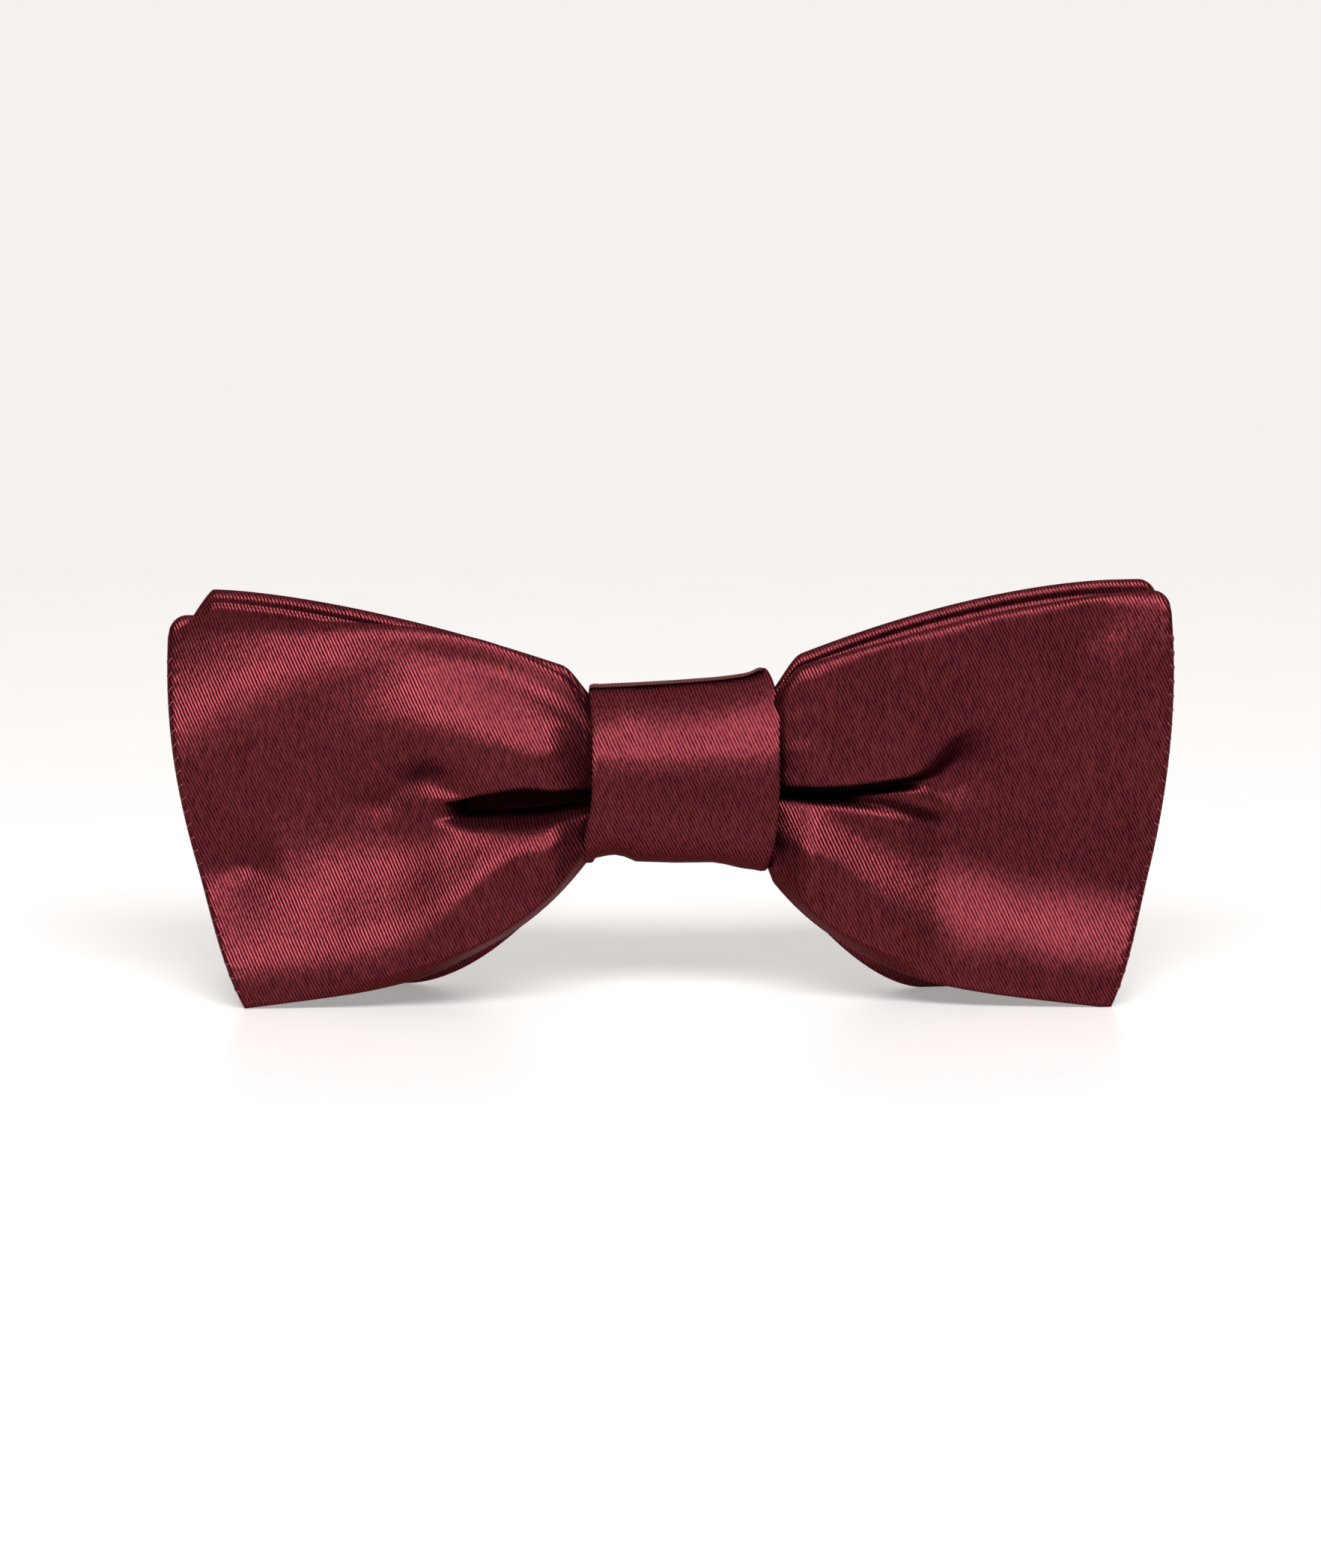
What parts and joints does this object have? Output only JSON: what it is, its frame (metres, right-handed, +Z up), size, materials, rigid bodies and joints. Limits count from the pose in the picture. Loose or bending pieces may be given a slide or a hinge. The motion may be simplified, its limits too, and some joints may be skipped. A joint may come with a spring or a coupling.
{
  "type": "pre-tied bow tie",
  "caption": "Pre-tied bow tie: stacked satin sleeves gathered under a wrapped knot, with a sprung collar clip behind it.",
  "frame": {"origin": "on the table, under the middle of the bow's box, the bow standing upright on its lower edges", "axes": "+X to the right as seen from the front, along the bow; -Y is the front, +Y the clip side towards the neck; +Z up"},
  "size_m": [0.12, 0.025, 0.0496],
  "materials": {
    "satin": "burgundy satin, glossy on the outer face, fine steep twill lines",
    "interlining": "off-white woven interlining, matte",
    "thread": "burgundy polyester sewing thread",
    "clip_steel": "bright nickel-plated spring steel",
    "pin_steel": "turned steel pins with flattened heads",
    "spring_steel": "drawn steel wire"
  },
  "bodies": {
    "bow": {"front_sleeve": "satin", "front_interlining": "interlining", "front_seam_thread": "thread", "rear_sleeve": "satin", "rear_interlining": "interlining", "rear_seam_thread": "thread", "gathering_thread": "thread", "knot_interlining": "interlining", "knot_band": "satin", "knot_stitches": "thread", "clip_plate": "clip_steel", "clip_stitches": "thread", "clip_pin_left": "pin_steel", "clip_spring_left": "spring_steel", "clip_pin_right": "pin_steel", "clip_spring_right": "spring_steel"},
    "jaw_left": {"clip_lever_left": "clip_steel"},
    "jaw_right": {"clip_lever_right": "clip_steel"}
  },
  "joints": [
    {"name": "jaw_left_open", "type": "hinge", "parent": "bow", "child": "jaw_left", "pos_m": [-0.0143, 0.00722, 0.028], "axis": [0, 0, -1], "range_deg": [0, 25], "stiffness_Nm_per_rad": 0.01, "springref_deg": -20.05, "deforming": ["clip_spring_left"]},
    {"name": "jaw_right_open", "type": "hinge", "parent": "bow", "child": "jaw_right", "pos_m": [0.0177, 0.00722, 0.028], "axis": [0, 0, 1], "range_deg": [0, 25], "stiffness_Nm_per_rad": 0.01, "springref_deg": -20.05, "deforming": ["clip_spring_right"]}
  ]
}
